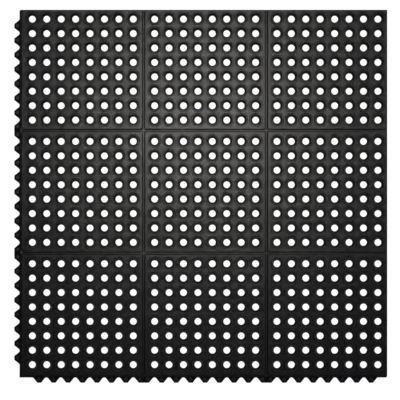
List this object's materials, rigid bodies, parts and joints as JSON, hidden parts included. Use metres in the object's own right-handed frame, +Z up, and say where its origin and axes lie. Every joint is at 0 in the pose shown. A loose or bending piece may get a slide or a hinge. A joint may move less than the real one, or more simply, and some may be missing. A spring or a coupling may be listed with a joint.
{
  "type": "kitchen floor mat",
  "caption": "Square black rubber floor mat with rows of bevelled drain holes in grooved panels, and interlocking studded teeth along two edges.",
  "frame": {"origin": "middle of the square of drain holes, which is the middle of the centre panel, on the underside", "axes": "+Z up out of the face that is stood on, +X to the right and +Y to the back; the teeth are on the left (-X) and front (-Y) edges"},
  "size_m": [0.9144, 0.9144, 0.0127],
  "materials": {
    "rubber": "matt black moulded rubber with a fine grain, slightly worn"
  },
  "bodies": {
    "root": {"panel_front_left": "rubber", "panel_front_centre": "rubber", "panel_front_right": "rubber", "panel_middle_left": "rubber", "panel_middle_centre": "rubber", "panel_middle_right": "rubber", "panel_back_left": "rubber", "panel_back_centre": "rubber", "panel_back_right": "rubber"}
  },
  "joints": []
}
